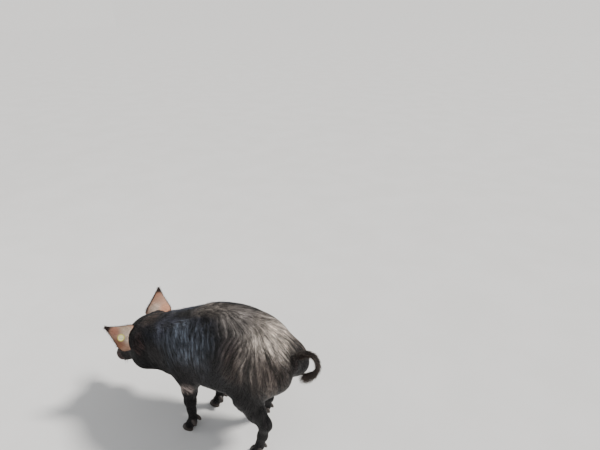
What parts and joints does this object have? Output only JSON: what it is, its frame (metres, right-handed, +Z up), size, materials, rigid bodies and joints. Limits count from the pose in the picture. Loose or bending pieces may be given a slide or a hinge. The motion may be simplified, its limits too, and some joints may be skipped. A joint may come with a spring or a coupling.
{
  "type": "pig",
  "caption": "Young black farm pig standing with its head lowered and its back arched, erect ears, curled tail and a round ear tag; a still life-size model.",
  "frame": {"origin": "on the floor, under the middle of the model's bounding box", "axes": "-X the way the head points, -Y the pig's left side, +Z up"},
  "size_m": [0.9342, 0.318, 0.5546],
  "materials": {
    "hide": "black skin under short glossy bristles",
    "snout_skin": "bare, slightly damp dark skin",
    "ear_skin": "thin reddish-brown skin with a sparse dark coat",
    "horn": "dull dark horn",
    "eye": "wet dark brown",
    "tag": "weathered yellow, plain"
  },
  "bodies": {
    "root": {"torso": "hide", "neck": "hide", "head": "hide", "snout": "snout_skin", "eye_left": "eye", "ear_left": "ear_skin", "eye_right": "eye", "ear_right": "ear_skin", "ear_tag": "tag", "tail": "hide", "upper_foreleg_left": "hide", "outer_claw_foreleg_left": "horn", "outer_dewclaw_foreleg_left": "horn", "inner_claw_foreleg_left": "horn", "inner_dewclaw_foreleg_left": "horn", "lower_foreleg_left": "hide", "upper_foreleg_right": "hide", "inner_claw_foreleg_right": "horn", "inner_dewclaw_foreleg_right": "horn", "outer_claw_foreleg_right": "horn", "outer_dewclaw_foreleg_right": "horn", "lower_foreleg_right": "hide", "thigh_left": "hide", "outer_claw_hindleg_left": "horn", "outer_dewclaw_hindleg_left": "horn", "inner_claw_hindleg_left": "horn", "inner_dewclaw_hindleg_left": "horn", "shank_left": "hide", "thigh_right": "hide", "inner_claw_hindleg_right": "horn", "inner_dewclaw_hindleg_right": "horn", "outer_claw_hindleg_right": "horn", "outer_dewclaw_hindleg_right": "horn", "shank_right": "hide"}
  },
  "joints": []
}
